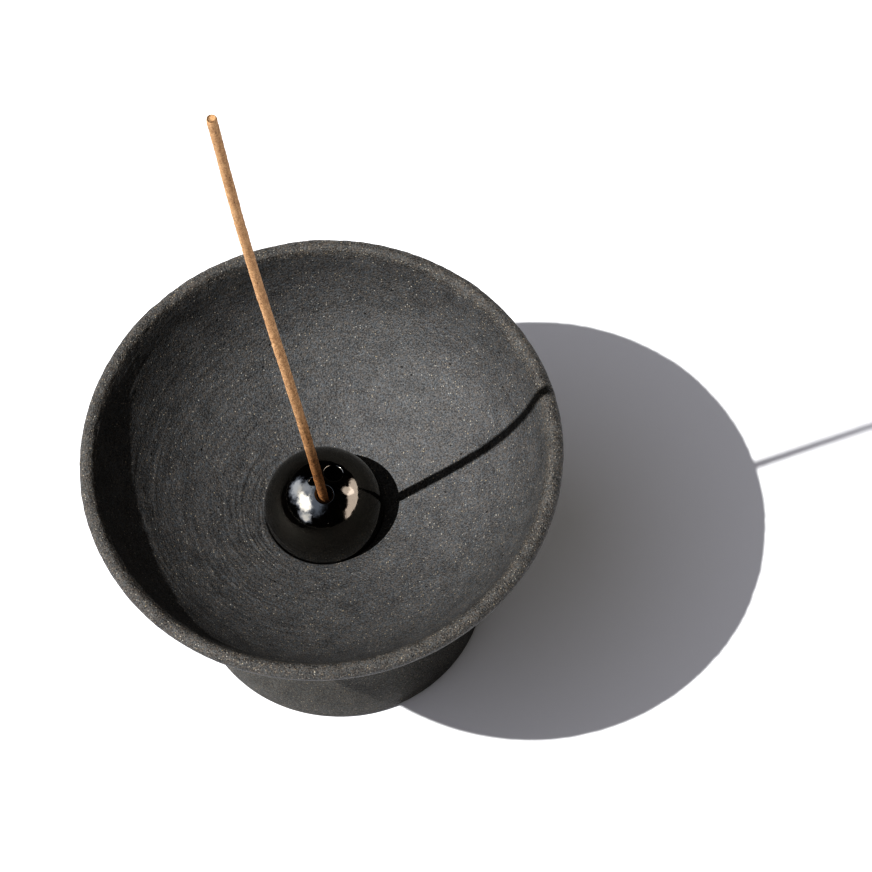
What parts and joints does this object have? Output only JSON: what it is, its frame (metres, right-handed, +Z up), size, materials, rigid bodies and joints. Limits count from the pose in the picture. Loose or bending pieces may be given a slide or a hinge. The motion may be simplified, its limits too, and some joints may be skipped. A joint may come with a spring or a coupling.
{
  "type": "incense burner",
  "caption": "Dark stoneware dish on a pedestal foot, with a loose glazed ball in its pocket that holds an upright incense stick.",
  "frame": {"origin": "on the dish's axis, in the plane that the foot stands on", "axes": "+Z up along the dish's axis; the stick leans towards -X"},
  "size_m": [0.1016, 0.1016, 0.2194],
  "materials": {
    "stoneware": "unglazed, matte and gritty",
    "black_glaze": "high gloss",
    "incense_paste": "matte pressed powder"
  },
  "bodies": {
    "bowl": {"pedestal_bowl": "stoneware"},
    "ball": {"incense_ball": "black_glaze"},
    "stick": {"incense_stick": "incense_paste"}
  },
  "joints": [
    {"name": "ball_lift", "type": "slide", "parent": "bowl", "child": "ball", "axis": [0, 0, 1], "range_m": [0, 0.05]},
    {"name": "stick_pull", "type": "slide", "parent": "ball", "child": "stick", "axis": [-0.0572, 0.0123, 0.9983], "range_m": [0, 0.03]}
  ]
}
